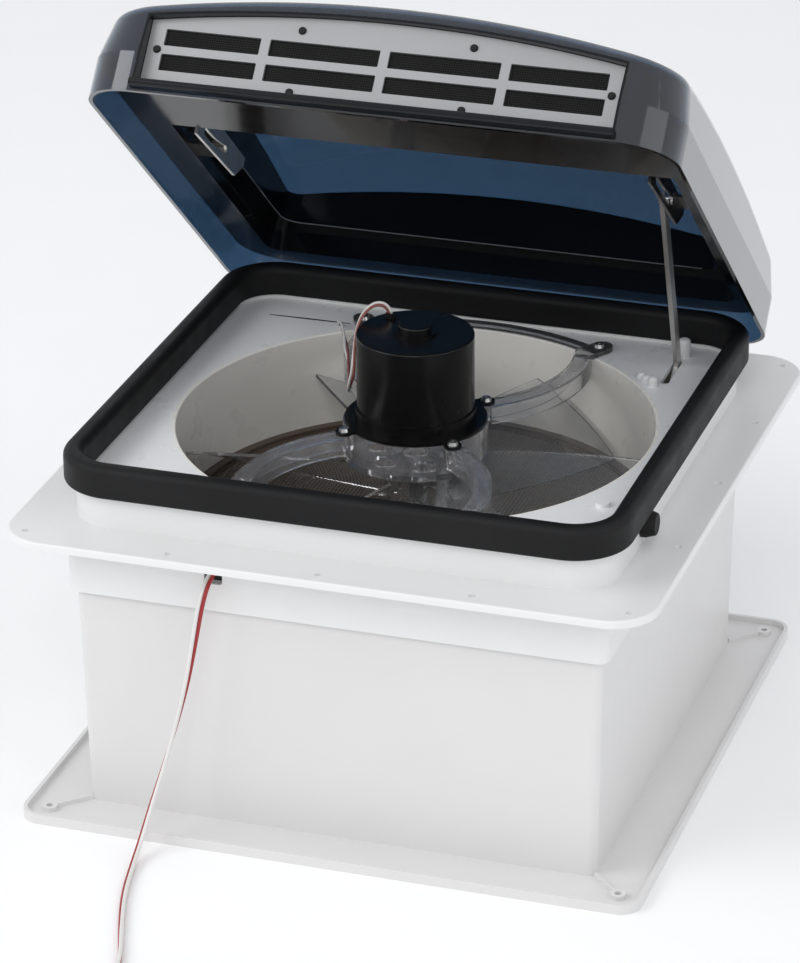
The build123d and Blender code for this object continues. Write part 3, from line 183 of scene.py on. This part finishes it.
def woven(name, place, sizes, inside, pitch, wide, thick, material):
    """A plain weave over a rectangle, kept to where inside(x, y) is true. Place is the sheet's own frame."""
    shape = bmesh.new()
    turn = place.to_3x3()
    axes = (turn.col[0], turn.col[1])
    above = turn.col[2]
    lift = thick * WEAVE_LIFT
    counts = [int(size / pitch / 2) for size in sizes]
    for way in (0, 1):
        for line in range(-counts[1 - way], counts[1 - way] + 1):
            run = []
            for step in range(-counts[way], counts[way] + 2):
                spot = (step * pitch, line * pitch) if way == 0 else (line * pitch, step * pitch)
                if step <= counts[way] and inside(*spot):
                    over = (step + line + way) % 2
                    run.append(place @ Vector((*spot, lift if over else -lift)))
                    continue
                if len(run) > 1:
                    add_strand(shape, run, axes[1 - way], above, wide, thick)
                run = []
    return link_shape(name, shape, [material])


# ---------------------------------------------------------------- materials
def new_material(name):
    """A material and its Principled shader."""
    material = bpy.data.materials.new(name)
    material.use_nodes = True
    return material, material.node_tree, material.node_tree.nodes["Principled BSDF"]


def set_sockets(shader, sockets):
    """Sets shader sockets by name, with an underscore for each space."""
    for socket, value in sockets.items():
        shader.inputs[socket.replace("_", " ")].default_value = value


def noise(tree, scale, detail=3.0, stretch=None):
    """A noise pattern in the object's own coordinates, in metres."""
    place = tree.nodes.new("ShaderNodeTexCoord")
    pattern = tree.nodes.new("ShaderNodeTexNoise")
    pattern.inputs["Scale"].default_value = scale
    pattern.inputs["Detail"].default_value = detail
    source = place.outputs["Object"]
    if stretch:
        mapping = tree.nodes.new("ShaderNodeMapping")
        mapping.inputs["Scale"].default_value = stretch
        tree.links.new(source, mapping.inputs["Vector"])
        source = mapping.outputs["Vector"]
    tree.links.new(source, pattern.inputs["Vector"])
    return pattern.outputs["Fac"]


def span(tree, source, low, high):
    """Maps a pattern's middle range on to low to high."""
    mapping = tree.nodes.new("ShaderNodeMapRange")
    mapping.inputs["From Min"].default_value = 0.3
    mapping.inputs["From Max"].default_value = 0.7
    mapping.inputs["To Min"].default_value = low
    mapping.inputs["To Max"].default_value = high
    tree.links.new(source, mapping.inputs["Value"])
    return mapping.outputs["Result"]


def two_tones(tree, source, first, second):
    """Blends between two colours by a pattern."""
    mix = tree.nodes.new("ShaderNodeMix")
    mix.data_type = "RGBA"          # its colours are inputs 6 and 7 and output 2
    mix.inputs[6].default_value = (*first, 1)
    mix.inputs[7].default_value = (*second, 1)
    tree.links.new(span(tree, source, 0, 1), mix.inputs["Factor"])
    return mix.outputs[2]


def bump(tree, shader, source, strength, distance):
    """Raises the surface by a pattern."""
    node = tree.nodes.new("ShaderNodeBump")
    node.inputs["Strength"].default_value = strength
    node.inputs["Distance"].default_value = distance
    tree.links.new(source, node.inputs["Height"])
    tree.links.new(node.outputs["Normal"], shader.inputs["Normal"])


def plastic(name, first, second, rough, grain=0.0, grain_scale=900.0, tone_scale=12.0, **sockets):
    """Moulded plastic, rubber or paint: two close tones, uneven gloss and a fine grain."""
    material, tree, shader = new_material(name)
    tree.links.new(two_tones(tree, noise(tree, tone_scale), first, second), shader.inputs["Base Color"])
    tree.links.new(span(tree, noise(tree, tone_scale * 4, 5), *rough), shader.inputs["Roughness"])
    if grain:
        bump(tree, shader, noise(tree, grain_scale, 2), grain, 0.0003)
    set_sockets(shader, sockets)
    return material


def metal(name, first, second, rough, stretch=None, scale=60.0):
    """Bare metal, with its fine marks drawn out along one direction."""
    material, tree, shader = new_material(name)
    marks = noise(tree, scale, 6, stretch)
    tree.links.new(two_tones(tree, marks, first, second), shader.inputs["Base Color"])
    tree.links.new(span(tree, marks, *rough), shader.inputs["Roughness"])
    bump(tree, shader, noise(tree, scale * 8, 3, stretch), 0.12, 0.0002)
    shader.inputs["Metallic"].default_value = 1.0
    return material


def clear(name, tint, rough, index=1.49, **sockets):
    """Clear or tinted plastic that light passes through."""
    material, tree, shader = new_material(name)
    second = [value * 0.96 for value in tint]
    tree.links.new(two_tones(tree, noise(tree, 20), tint, second), shader.inputs["Base Color"])
    tree.links.new(span(tree, noise(tree, 90, 4), *rough), shader.inputs["Roughness"])
    shader.inputs["Transmission Weight"].default_value = 1
    shader.inputs["IOR"].default_value = index
    set_sockets(shader, sockets)
    return material


WHITE = plastic("white_abs", (0.78, 0.78, 0.775), (0.765, 0.765, 0.76), (0.32, 0.38), 0.08)
TRIM = plastic("trim_abs", (0.715, 0.705, 0.70), (0.70, 0.69, 0.685), (0.32, 0.40), 0.08)
DECK = plastic("deck_abs", (0.88, 0.885, 0.89), (0.87, 0.875, 0.88), (0.27, 0.30), 0.04)
# The duct's cream is set brighter than its own tone to make up for the shade inside the duct: partly painted
# light.
DUCT_LIT = plastic("duct_abs_lit", (0.92, 0.90, 0.84), (0.91, 0.885, 0.825), (0.26, 0.32), 0.04)
SEAL = plastic(
    "seal_rubber", (0.005, 0.005, 0.0055), (0.009, 0.009, 0.0095), (0.5, 0.62), 0.3, 1400,
    Specular_IOR_Level=0.22,
)
BROWN = plastic("brown_plastic", (0.13, 0.095, 0.075), (0.11, 0.08, 0.062), (0.4, 0.55), 0.1)
WEAVE = plastic("brown_weave", (0.19, 0.145, 0.11), (0.16, 0.12, 0.09), (0.5, 0.65))
BLACK = plastic(
    "black_paint", (0.003, 0.003, 0.0033), (0.005, 0.005, 0.0053), (0.20, 0.28), 0.04,
    Specular_IOR_Level=0.26,
)
SCREW = plastic(
    "blacked_screw", (0.004, 0.004, 0.004), (0.006, 0.006, 0.006), (0.4, 0.5),
    Specular_IOR_Level=0.25,
)
GLOSS = plastic(
    "black_gloss", (0.004, 0.0045, 0.006), (0.006, 0.007, 0.009), (0.08, 0.14),
    Specular_IOR_Level=0.28,
)
SHELF = plastic(
    "shelf_gloss", (0.014, 0.012, 0.011), (0.010, 0.009, 0.009), (0.08, 0.16),
    Specular_IOR_Level=0.32,
)
SILVER = plastic(
    "silver_paint", (0.37, 0.37, 0.375), (0.34, 0.34, 0.345), (0.34, 0.42), 0.1, 1600,
    Metallic=0.4,
)
MESH = plastic(
    "black_weave", (0.010, 0.010, 0.010), (0.007, 0.007, 0.007), (0.4, 0.55),
    Specular_IOR_Level=0.2,
)
SHADOW = plastic(
    "shadow", (0.006, 0.006, 0.006), (0.004, 0.004, 0.004), (0.6, 0.7),
    Specular_IOR_Level=0.05,
)
# A thin grey strip along the liner's ledge, painted as the highlight on the ledge's edge.
HIGHLIGHT = plastic("ledge_highlight", (0.17, 0.18, 0.20), (0.14, 0.15, 0.17), (0.2, 0.3))
CARBON = plastic("carbon", (0.012, 0.012, 0.012), (0.018, 0.018, 0.018), (0.4, 0.6))
RED = plastic("red_insulation", (0.36, 0.018, 0.018), (0.30, 0.014, 0.016), (0.34, 0.46))
PALE = plastic("white_insulation", (0.76, 0.75, 0.73), (0.70, 0.69, 0.67), (0.3, 0.42))
RUST = plastic("brown_insulation", (0.28, 0.09, 0.07), (0.24, 0.075, 0.06), (0.34, 0.46))
NYLON = plastic("nylon", (0.74, 0.72, 0.64), (0.68, 0.66, 0.58), (0.35, 0.45))
BOARD = plastic("board", (0.22, 0.14, 0.06), (0.18, 0.11, 0.05), (0.5, 0.6))
ZINC = metal("zinc_steel", (0.66, 0.66, 0.65), (0.52, 0.52, 0.51), (0.18, 0.34))
# Steel of the lift arm and the left rail, set lighter than bare steel to stand in for the light it catches:
# partly painted highlight.
STEEL_LIT = metal("strip_steel_lit", (0.84, 0.82, 0.79), (0.70, 0.68, 0.65), (0.34, 0.46), (1, 1, 0.08))
# The right rail gets the same steel as the left rail in a much darker tone: painted shade.
RAIL_SHADED = metal("rail_steel_shaded", (0.30, 0.29, 0.28), (0.24, 0.23, 0.22), (0.25, 0.4), (1, 1, 0.08))
CHROME = metal("chrome", (0.80, 0.80, 0.80), (0.72, 0.72, 0.72), (0.05, 0.12))
COPPER = metal("copper", (0.72, 0.34, 0.16), (0.60, 0.26, 0.12), (0.25, 0.40))
FERRITE = metal("ferrite", (0.10, 0.10, 0.10), (0.07, 0.07, 0.07), (0.45, 0.6))
CLEAR = clear("clear_polycarbonate", (0.95, 0.95, 0.97), (0.02, 0.06), 1.5, Transmission_Weight=0.93)
BLADE = clear("blade_polycarbonate", (0.93, 0.94, 0.95), (0.02, 0.06), 1.46, Transmission_Weight=0.95)
SMOKE = clear(
    "smoked_acrylic", (0.035, 0.078, 0.145), (0.02, 0.04), 1.49,
    Coat_Weight=0.7, Coat_IOR=1.62, Coat_Roughness=0.1,
)

LOOKS = {
    WHITE: ("roof_frame", "deck_posts"),
    TRIM: ("ceiling_garnish",),
    DECK: ("deck_plate",),
    DUCT_LIT: ("fan_duct",),
    SEAL: ("rim_seal", "rain_sensor", "motor_grommet", "lead_gland"),
    BROWN: ("screen_frame", "crank_knob"),
    BLACK: ("motor_can", "motor_cap", "end_bell"),
    SCREW: ("grille_screws",),
    GLOSS: ("grille_tray", "lid_liner"),
    RAIL_SHADED: ("right_rail",),
    SHELF: ("rain_baffle",),
    SILVER: ("vent_grille",),
    CARBON: ("brushes",),
    SHADOW: ("grille_mesh",),
    NYLON: ("sector_gear", "lift_worm", "gear_case"),
    BOARD: ("brush_holder",),
    ZINC: (
        "bracket_screws", "motor_screws", "fan_shaft", "arm_pivot", "hinge_brackets", "hinge_pins",
        "crank_shaft", "fan_nut", "lid_knuckles",
    ),
    STEEL_LIT: ("lift_arm", "left_rail"),
    CHROME: ("arm_pin", "upper_bearing", "lower_bearing"),
    COPPER: ("armature_winding", "commutator"),
    FERRITE: ("field_magnets", "armature"),
    CLEAR: ("motor_bracket",),
    BLADE: ("fan_blades",),
    SMOKE: ("lid_dome",),
}
for material, names in LOOKS.items():
    for name in names:
        data = NODES[name].data
        data.materials.clear()
        data.materials.append(material)

# ---------------------------------------------------------------- power lead
LEAD_START = math.pi            # the white wire is on the left at the notch
LEAD_SWING, LEAD_RATE = -2.4, 7.3       # radians either way, and radians a metre
LEAD_WIDE = 5.2 * MM
LEAD_ROUTE = [
    (-77.5, -174.5, 182),
    (-77.5, -186.5, 181.5),
    (-79.5, -194.5, 168),
    (-84.5, -193, 143),
    (-92, -191.5, 106),
    (-101.5, -198, 66),
    (-110.5, -210, 30),
    (-114.5, -220, 9),
    (-112.5, -240, 2.8),
    (-105, -275, 2.6),
    (-91, -316, 2.6),
    (-77, -352, 2.6),
    (-72, -390, 2.6),
]
COIL_CENTRE = (-44.0, -404.0)
COIL_TURNS = 4
COIL_STEPS = 20                 # control points in each turn
COIL_INNER, COIL_OUTER = 25.4, 30.8
COIL_LOW, COIL_HIGH = 2.6, 7.8
COIL_SHIFT = 0.13               # share of a turn in which the line changes place


def coil_place(turns):
    """Radius and height of the coil's line after so many turns: outer, inner, up, then outer again."""
    whole = int(turns)
    part = turns - whole
    radii = (COIL_OUTER, COIL_INNER, COIL_INNER, COIL_OUTER)
    heights = (COIL_LOW, COIL_LOW, COIL_HIGH, COIL_HIGH)
    start = (0.80, 0.65, 0.50, 1.0)[whole]      # where in the turn it begins to change place
    blend = min(max((part - start) / COIL_SHIFT, 0), 1)
    after = min(whole + 1, COIL_TURNS - 1)
    radius = radii[whole] + (radii[after] - radii[whole]) * blend
    height = heights[whole] + (heights[after] - heights[whole]) * blend
    return radius, height


def coil_points():
    """The coil's turns, which carry on from the end of the route."""
    for step in range(COIL_TURNS * COIL_STEPS):
        radius, height = coil_place(step / COIL_STEPS)
        angle = math.pi + 2 * math.pi * step / COIL_STEPS
        yield (
            COIL_CENTRE[0] + radius * math.cos(angle),
            COIL_CENTRE[1] + radius * math.sin(angle),
            height,
        )


lead_line = spline_points("lead_route", LEAD_ROUTE + list(coil_points()))
lead = twin_wire("power_lead_wires", lead_line, LEAD_WIDE, (PALE, RED), LEAD_START, LEAD_SWING, LEAD_RATE)
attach(lead, "base")
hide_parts("power_lead", "lead_coil")

# ---------------------------------------------------------------- motor wires
can_low, can_high = (Vector(corner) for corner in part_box("motor_can"))
WIRE_PAIR = 3.6 * MM
WIRE_START, WIRE_SWING, WIRE_RATE = 1.2, 2.4, 40
# Radius, angle and height about the top of the can: over its edge, down its side, along a bracket arm.
MOTOR_WIRES = [
    (30, 140, 2.5), (31, 143, 9), (37, 156, 10), (41, 172, 1), (40.5, 185, -15), (40.5, 190, -31),
    (47, 178, -48), (56, 158, -53), (76, 142, -54), (108, 133, -54), (140, 128, -54), (160, 126.5, -54.5),
    (166, 126, -60.5),
]


def wire_points():
    """The motor wires' control points in millimetres."""
    middle = (can_low + can_high) / 2 / MM
    for radius, angle, height in MOTOR_WIRES:
        turn = math.radians(angle)
        yield (
            middle.x + radius * math.cos(turn),
            middle.y + radius * math.sin(turn),
            can_high.z / MM + height,
        )


wire_line = spline_points("wire_route", list(wire_points()))
wires = twin_wire("motor_wires", wire_line, WIRE_PAIR, (PALE, RUST), WIRE_START, WIRE_SWING, WIRE_RATE)
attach(wires, "base")
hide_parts("motor_leads")

# ---------------------------------------------------------------- painted shade of the slit in the deck
DECK_BOSS = 2.5                 # the boss stands this far above the deck
SLIT_FROM, SLIT_STEP, SLIT_STEPS = (-149, 133.6), (7.2, 0.1), 8
SLIT_WIDE, SLIT_THICK = 1.8, 0.15
SLIT_END = 0.35                 # width at the ends, as a share of the middle
SLIT_ABOVE = 0.02               # lies this far above the deck's top
deck_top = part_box("deck_plate")[1][2] / MM - DECK_BOSS


def add_slit_shade():
    """The shade in a slit in the back left of the deck, painted as a thin dark strip on it that narrows to
    its ends.
    """
    shape = bmesh.new()
    start = Vector((*SLIT_FROM, deck_top + SLIT_ABOVE))
    step = Vector((*SLIT_STEP, 0))
    across = step.normalized().cross(Vector((0, 0, 1))).normalized()
    corners = ((-1, 0), (1, 0), (1, SLIT_THICK), (-1, SLIT_THICK))
    rings = []
    for index in range(SLIT_STEPS + 1):
        middle = min(index, SLIT_STEPS - index) / ((SLIT_STEPS + 1) / 2)
        half = SLIT_WIDE / 2 * (SLIT_END + (1 - SLIT_END) * middle ** 0.5)
        rings.append([
            shape.verts.new((start + step * index + across * side * half + Vector((0, 0, lift))) * MM)
            for side, lift in corners
        ])
    join_rings(shape, rings)
    shade_strip = link_shape("deck_slit_shade", shape, [SHADOW])
    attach(shade_strip, "base")


add_slit_shade()

# ---------------------------------------------------------------- woven screens
SCREEN_PITCH, SCREEN_STRAND, SCREEN_THICK = 2.5 * MM, 0.7 * MM, 0.2 * MM
screen_low, screen_high = (Vector(corner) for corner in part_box("insect_screen"))
screen_wide = screen_high.x - screen_low.x
screen = woven(
    "insect_weave", Matrix.Translation((screen_low + screen_high) / 2), (screen_wide, screen_wide),
    lambda x, y: math.hypot(x, y) < screen_wide / 2, SCREEN_PITCH, SCREEN_STRAND, SCREEN_THICK, WEAVE,
)
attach(screen, "base")
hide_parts("insect_screen")

LID_TILT = math.radians(41)
lid_up = Vector((0, math.sin(LID_TILT), math.cos(LID_TILT)))
lid_ahead = Vector((0, -math.cos(LID_TILT), math.sin(LID_TILT)))
lid_frame = Matrix(((1, 0, 0), lid_up, lid_ahead)).transposed().to_4x4()

# The grille's weave lies just in front of the grille mesh part, which is painted as the dark shade behind
# the grille.
MESH_TALL = 29.5 * MM
MESH_AHEAD = 0.34 * MM
MESH_PITCH, MESH_STRAND, MESH_THICK = 1.5 * MM, 0.5 * MM, 0.1 * MM
mesh_low, mesh_high = (Vector(corner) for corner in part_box("grille_mesh"))
grille_weave = woven(
    "grille_weave", Matrix.Translation((mesh_low + mesh_high) / 2 + lid_ahead * MESH_AHEAD) @ lid_frame,
    (mesh_high.x - mesh_low.x, MESH_TALL), lambda x, y: True, MESH_PITCH, MESH_STRAND, MESH_THICK, MESH,
)
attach(grille_weave, "lid")

# ---------------------------------------------------------------- painted highlight along the liner's ledge
RIM = Vector((0, 179.5, 223)) * MM      # where the lid's own frame starts
HIGHLIGHT_SIDE, HIGHLIGHT_BACK, HIGHLIGHT_UP = 156.0, 27.4, 39.5
HIGHLIGHT_FRONT, HIGHLIGHT_END = 235, 140
HIGHLIGHT_CORNER = 12
HIGHLIGHT_RADIUS = 0.4 * MM


def in_lid(x, forward):
    """A point of the painted highlight strip on the open lid, from its place in millimetres in the lid's own
    frame.
    """
    return RIM + (Vector((x, 0, 0)) + lid_ahead * forward + lid_up * HIGHLIGHT_UP) * MM


def highlight_points():
    """The painted highlight strip runs back along the left wall, round the corner and across the back wall.
    """
    for step in range(13):
        yield in_lid(-HIGHLIGHT_SIDE, HIGHLIGHT_FRONT - 15 * step)
    for step in range(1, 6):
        turn = math.radians(18 * step)
        x = -HIGHLIGHT_SIDE + HIGHLIGHT_CORNER * (1 - math.cos(turn))
        yield in_lid(x, HIGHLIGHT_BACK + HIGHLIGHT_CORNER * (1 - math.sin(turn)))
    for x in range(-120, HIGHLIGHT_END + 1, 20):
        yield in_lid(x, HIGHLIGHT_BACK)


highlight_shape = bmesh.new()
add_tube(highlight_shape, list(highlight_points()), HIGHLIGHT_RADIUS, 0, 6)
highlight_strip = link_shape("ledge_highlight", highlight_shape, [HIGHLIGHT])
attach(highlight_strip, "lid")

# ---------------------------------------------------------------- floor and light
def add_floor():
    """A wide pale floor."""
    data = bpy.data.meshes.new("floor")
    half = 6.0
    corners = [(-half, -half, 0), (half, -half, 0), (half, half, 0), (-half, half, 0)]
    data.from_pydata(corners, [], [(0, 1, 2, 3)])
    floor = bpy.data.objects.new("floor", data)
    SCENE.collection.objects.link(floor)
    data.materials.append(plastic("floor", (0.96, 0.96, 0.96), (0.95, 0.95, 0.95), (0.7, 0.8)))


def add_light(name, place, aim, size, power):
    """A soft square light that faces a point."""
    data = bpy.data.lights.new(name, "AREA")
    data.shape = "SQUARE"
    data.size = size
    data.energy = power
    light = bpy.data.objects.new(name, data)
    SCENE.collection.objects.link(light)
    light.location = place
    light.rotation_euler = (Vector(aim) - Vector(place)).to_track_quat("-Z", "Y").to_euler()


add_floor()
world = bpy.data.worlds.new("world")
world.use_nodes = True
world.node_tree.nodes["Background"].inputs["Color"].default_value = (0.95, 0.97, 1, 1)
world.node_tree.nodes["Background"].inputs["Strength"].default_value = 0.75
SCENE.world = world
SCENE.view_settings.view_transform = "Standard"
add_light("key", (-2.3, -1.7, 2.3), (0, 0, 0.2), 2.2, 40)
add_light("front", (0.5, -2.6, 2.2), (0, 0, 0.2), 1.2, 16)
add_light("fill", (2.4, -0.8, 1.6), (0, 0, 0.25), 2.4, 13)
